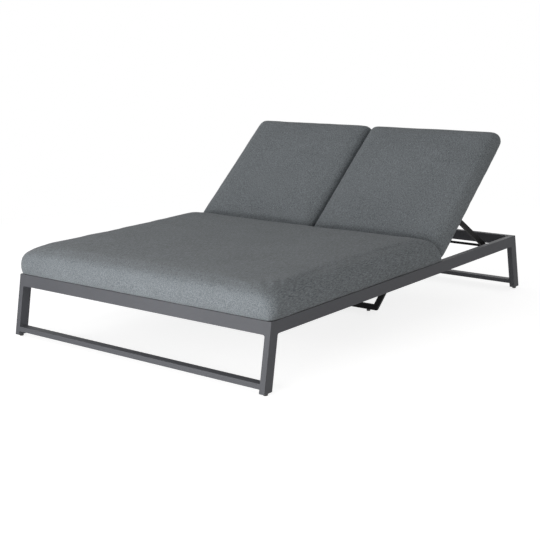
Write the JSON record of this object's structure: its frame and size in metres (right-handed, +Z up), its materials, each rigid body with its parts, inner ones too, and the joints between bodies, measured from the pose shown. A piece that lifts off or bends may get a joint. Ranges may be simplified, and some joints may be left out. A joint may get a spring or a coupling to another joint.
{
  "type": "double chaise lounger",
  "caption": "Wide double chaise lounger: powder-coated tube frame, one seat cushion, two separately reclining backs on folding props.",
  "frame": {"origin": "on the floor, under the middle of the frame", "axes": "+Z up, +Y towards the head end, +X to the right-hand side seen from the foot end"},
  "size_m": [1.4182, 1.9964, 0.7896],
  "materials": {
    "seat_fabric": "woven outdoor fabric",
    "back_fabric": "woven outdoor fabric",
    "frame_paint": "fine textured powder coat",
    "support_paint": "fine textured powder coat",
    "prop_paint": "satin paint",
    "slat_paint": "fine textured powder coat",
    "rack_nylon": "matte",
    "glide_plastic": "matte",
    "bright_fixings": "zinc"
  },
  "bodies": {
    "frame": {"centre_rail_head": "frame_paint", "centre_rail_seat": "frame_paint", "foot_floor_rail": "frame_paint", "foot_leg_left": "frame_paint", "foot_leg_right": "frame_paint", "foot_top_rail": "frame_paint", "glides": "glide_plastic", "head_floor_rail": "frame_paint", "head_leg_left": "frame_paint", "head_leg_right": "frame_paint", "head_top_rail": "frame_paint", "hinge_bolts": "bright_fixings", "hinge_bracket_inner_left": "frame_paint", "hinge_bracket_inner_right": "frame_paint", "hinge_bracket_outer_left": "frame_paint", "hinge_bracket_outer_right": "frame_paint", "hinge_rail": "frame_paint", "rack_inner_left": "rack_nylon", "rack_inner_right": "rack_nylon", "rack_outer_left": "rack_nylon", "rack_outer_right": "rack_nylon", "rack_screws": "bright_fixings", "rail_studs": "bright_fixings", "seat_cushion": "seat_fabric", "seat_slat_1": "slat_paint", "seat_slat_2": "slat_paint", "seat_slat_3": "slat_paint", "seat_slat_4": "slat_paint", "seat_slat_5": "slat_paint", "seat_slat_6": "slat_paint", "seat_slat_7": "slat_paint", "side_rail_left": "frame_paint", "side_rail_right": "frame_paint", "support_floor_rail": "support_paint", "support_leg_left": "support_paint", "support_leg_right": "support_paint"},
    "back_left": {"back_cushion_left": "back_fabric", "back_lower_tube_left": "frame_paint", "back_side_tube_inner_left": "frame_paint", "back_side_tube_outer_left": "frame_paint", "back_slats_left": "slat_paint", "back_upper_tube_left": "frame_paint", "hinge_leaves_left": "frame_paint", "prop_lugs_left": "prop_paint"},
    "back_right": {"back_cushion_right": "back_fabric", "back_lower_tube_right": "frame_paint", "back_side_tube_inner_right": "frame_paint", "back_side_tube_outer_right": "frame_paint", "back_slats_right": "slat_paint", "back_upper_tube_right": "frame_paint", "hinge_leaves_right": "frame_paint", "prop_lugs_right": "prop_paint"},
    "prop_left": {"prop_arm_inner_left": "prop_paint", "prop_arm_outer_left": "prop_paint", "prop_bolts_left": "bright_fixings", "prop_foot_bar_left": "prop_paint"},
    "prop_right": {"prop_arm_inner_right": "prop_paint", "prop_arm_outer_right": "prop_paint", "prop_bolts_right": "bright_fixings", "prop_foot_bar_right": "prop_paint"}
  },
  "joints": [
    {"name": "back_recline_left", "type": "hinge", "parent": "frame", "child": "back_left", "pos_m": [-0.35, 0.249, 0.2605], "axis": [1, 0, 0], "range_deg": [-40.5, 0]},
    {"name": "prop_fold_left", "type": "hinge", "parent": "back_left", "child": "prop_left", "pos_m": [-0.35, 0.4762, 0.42562], "axis": [1, 0, 0], "range_deg": [0, 73.4]},
    {"name": "back_recline_right", "type": "hinge", "parent": "frame", "child": "back_right", "pos_m": [0.35, 0.249, 0.2605], "axis": [1, 0, 0], "range_deg": [-40.5, 0]},
    {"name": "prop_fold_right", "type": "hinge", "parent": "back_right", "child": "prop_right", "pos_m": [0.35, 0.4762, 0.42562], "axis": [1, 0, 0], "range_deg": [0, 73.4]}
  ],
  "couplings": [
    {"joint": "prop_fold_left", "follows": "back_recline_left", "ratio": -1.8083},
    {"joint": "prop_fold_right", "follows": "back_recline_right", "ratio": -1.8083}
  ]
}
